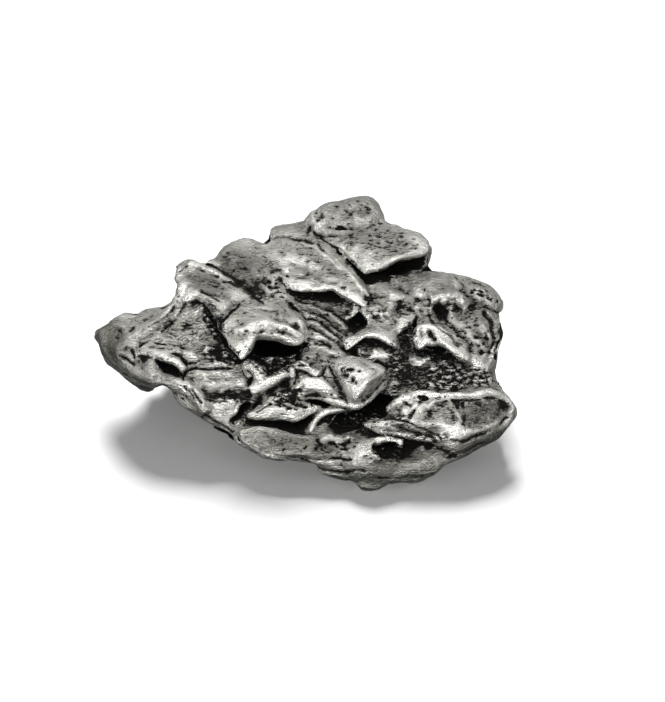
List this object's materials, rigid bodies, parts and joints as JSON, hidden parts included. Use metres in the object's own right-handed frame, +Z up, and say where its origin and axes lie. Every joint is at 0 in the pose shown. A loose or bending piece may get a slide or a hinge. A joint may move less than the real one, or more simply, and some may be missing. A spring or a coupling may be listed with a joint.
{
  "type": "iron meteorite",
  "caption": "Small iron meteorite of folded, overlapping flakes with ledges, pits and deep pockets, resting on its underside.",
  "frame": {"origin": "on the ground, under the middle of the stone's box", "axes": "+X along the stone's length to the viewer's right, +Y away from the viewer, +Z up"},
  "size_m": [0.05, 0.0366, 0.0201],
  "materials": {
    "polished_iron": "brushed silvery iron, bright on the raised rims and blackened in the pits, creases and pockets"
  },
  "bodies": {
    "root": {"meteorite": "polished_iron"}
  },
  "joints": []
}
